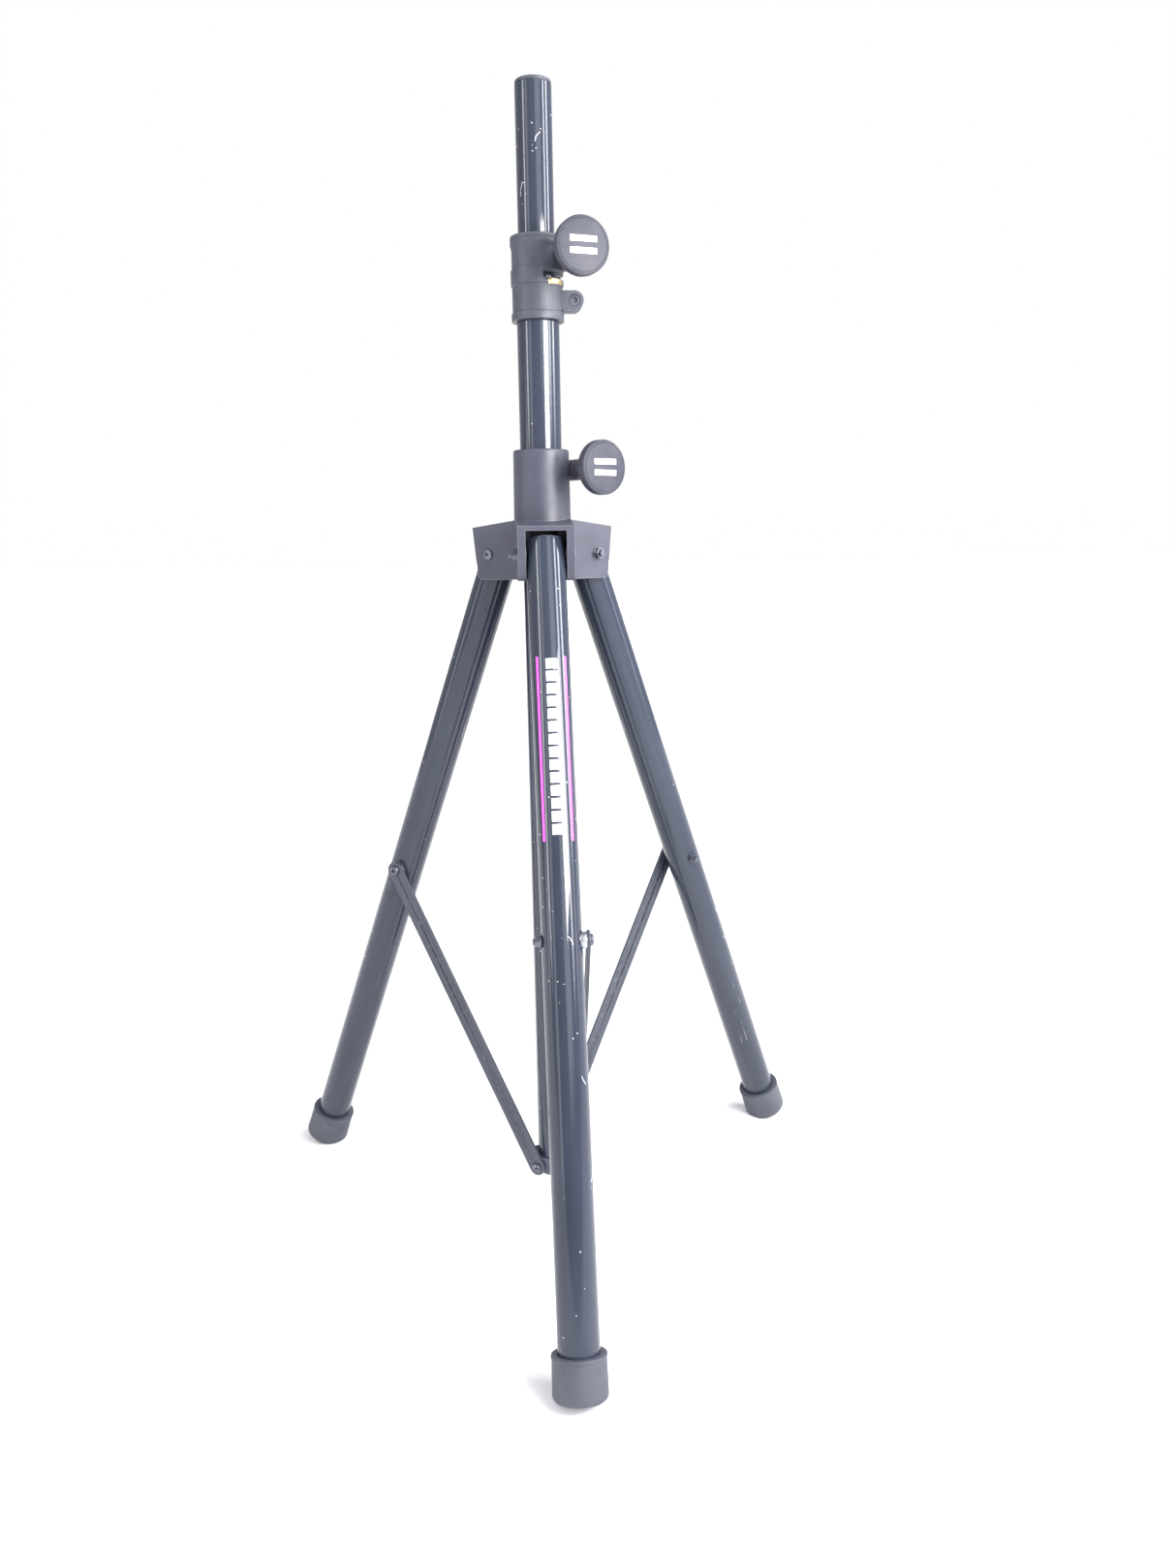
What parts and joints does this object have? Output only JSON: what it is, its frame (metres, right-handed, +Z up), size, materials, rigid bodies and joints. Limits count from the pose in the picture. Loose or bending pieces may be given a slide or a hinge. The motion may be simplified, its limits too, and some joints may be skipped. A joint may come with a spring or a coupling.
{
  "type": "speaker tripod stand",
  "caption": "Folding tripod stand with a telescoping pole, a leg housing with clamp knobs, tube legs with rubber feet and flat bar struts that pull on a hub at the mast's lower end.",
  "frame": {"origin": "on the mast's axis, in the plane of the collar's mouth, where the pole comes out", "axes": "+Z up along the pole; the front leg, the one nearest the viewer, points along -Y; +X is the viewer's right"},
  "size_m": [0.6116, 0.5365, 1.157],
  "materials": {
    "powder_coat": "gloss black powder coat over steel tube, with fine scratches",
    "cast_black": "satin black over a die casting",
    "strut_black": "satin black over flat steel bar, worn bright along the edges",
    "moulded_black": "moulded black nylon, satin",
    "knob_black": "moulded black plastic, satin",
    "foot_rubber": "matte black rubber with a grey bloom",
    "washer_black": "moulded black nylon",
    "zinc_steel": "zinc plated",
    "dark_steel": "black oxide",
    "brass": "bare brass",
    "nylon": "natural nylon"
  },
  "bodies": {
    "leg_housing": {"leg_housing": "cast_black", "leg_pivot_bolts": "dark_steel", "leg_pivot_nuts": "dark_steel", "leg_pivot_washers": "washer_black", "lower_thread_insert": "brass"},
    "lower_washer": {"lower_knob_washer": "washer_black"},
    "lower_knob": {"lower_knob": "knob_black", "lower_knob_stud": "zinc_steel"},
    "leg_front": {"leg_tube_front": "powder_coat", "leg_plug_front": "moulded_black", "foot_front": "foot_rubber", "strut_bolt_front": "dark_steel", "strut_nut_front": "dark_steel", "strut_spacer_front": "zinc_steel"},
    "strut_front": {"strut_front": "strut_black"},
    "leg_left": {"leg_tube_left": "powder_coat", "leg_plug_left": "moulded_black", "foot_left": "foot_rubber", "strut_bolt_left": "dark_steel", "strut_nut_left": "dark_steel", "strut_spacer_left": "zinc_steel"},
    "strut_left": {"strut_left": "strut_black"},
    "leg_right": {"leg_tube_right": "powder_coat", "leg_plug_right": "moulded_black", "foot_right": "foot_rubber", "strut_bolt_right": "dark_steel", "strut_nut_right": "dark_steel", "strut_spacer_right": "zinc_steel"},
    "strut_right": {"strut_right": "strut_black"},
    "mast": {"mast_tube": "powder_coat", "mast_end_plug": "moulded_black", "hub_bracket": "cast_black", "hub_rivets": "dark_steel", "collar": "moulded_black", "collar_shim": "brass", "collar_clamp_bolt": "dark_steel", "collar_clamp_nut": "zinc_steel", "upper_thread_insert": "brass"},
    "upper_washer": {"upper_knob_washer": "washer_black"},
    "upper_knob": {"upper_knob": "knob_black", "upper_knob_stud": "zinc_steel"},
    "pole_guide": {"pole_guide_bushing": "nylon"},
    "pole": {"pole_tube": "powder_coat", "pole_cap": "moulded_black"}
  },
  "joints": [
    {"name": "leg_fold", "type": "hinge", "parent": "leg_housing", "child": "leg_front", "pos_m": [0, -0.0488, -0.298], "axis": [-1, 0, 0], "range_deg": [-20.7, 3.8]},
    {"name": "strut_front_swing", "type": "hinge", "parent": "leg_front", "child": "strut_front", "pos_m": [0, -0.18405, -0.64669], "axis": [-1, 0, 0], "range_deg": [-7.8, 42.2]},
    {"name": "leg_left_fold", "type": "hinge", "parent": "leg_housing", "child": "leg_left", "pos_m": [-0.04226, 0.0244, -0.298], "axis": [0.5, 0.866, 0], "range_deg": [-20.7, 3.8]},
    {"name": "strut_left_swing", "type": "hinge", "parent": "leg_left", "child": "strut_left", "pos_m": [-0.15939, 0.09202, -0.64669], "axis": [0.5, 0.866, 0], "range_deg": [-7.8, 42.2]},
    {"name": "leg_right_fold", "type": "hinge", "parent": "leg_housing", "child": "leg_right", "pos_m": [0.04226, 0.0244, -0.298], "axis": [0.5, -0.866, 0], "range_deg": [-20.7, 3.8]},
    {"name": "strut_right_swing", "type": "hinge", "parent": "leg_right", "child": "strut_right", "pos_m": [0.15939, 0.09202, -0.64669], "axis": [0.5, -0.866, 0], "range_deg": [-7.8, 42.2]},
    {"name": "mast_carry", "type": "hinge", "parent": "strut_front", "child": "mast", "pos_m": [0, -0.0122, -0.9765], "axis": [-1, 0, 0], "range_deg": [-21.5, 4]},
    {"name": "pole_slide", "type": "slide", "parent": "mast", "child": "pole_guide", "axis": [0, 0, 1], "range_m": [-0.12, 0.7]},
    {"name": "pole_turn", "type": "hinge", "parent": "pole_guide", "child": "pole", "pos_m": [0, 0, 0], "axis": [0, 0, 1], "continuous": true},
    {"name": "upper_knob_travel", "type": "slide", "parent": "mast", "child": "upper_washer", "axis": [0.2436, -0.9699, 0], "range_m": [0, 0.003]},
    {"name": "upper_knob_turn", "type": "hinge", "parent": "upper_washer", "child": "upper_knob", "pos_m": [0.02328, 0.00585, -0.02], "axis": [0.2436, -0.9699, 0], "range_deg": [0, 721]},
    {"name": "lower_knob_travel", "type": "slide", "parent": "leg_housing", "child": "lower_washer", "axis": [0.5255, -0.8508, 0], "range_m": [0, 0.003]},
    {"name": "lower_knob_turn", "type": "hinge", "parent": "lower_washer", "child": "lower_knob", "pos_m": [0.0234, 0.01445, -0.216], "axis": [0.5255, -0.8508, 0], "range_deg": [0, 721]}
  ],
  "couplings": [
    {"joint": "strut_front_swing", "follows": "leg_fold", "ratio": -2.0359},
    {"joint": "leg_left_fold", "follows": "leg_fold", "ratio": 1},
    {"joint": "strut_left_swing", "follows": "leg_fold", "ratio": -2.0359},
    {"joint": "leg_right_fold", "follows": "leg_fold", "ratio": 1},
    {"joint": "strut_right_swing", "follows": "leg_fold", "ratio": -2.0359},
    {"joint": "mast_carry", "follows": "leg_fold", "ratio": 1.0359},
    {"joint": "upper_knob_turn", "follows": "upper_knob_travel", "rad_per_m": 4188.8},
    {"joint": "lower_knob_turn", "follows": "lower_knob_travel", "rad_per_m": 4188.8}
  ]
}
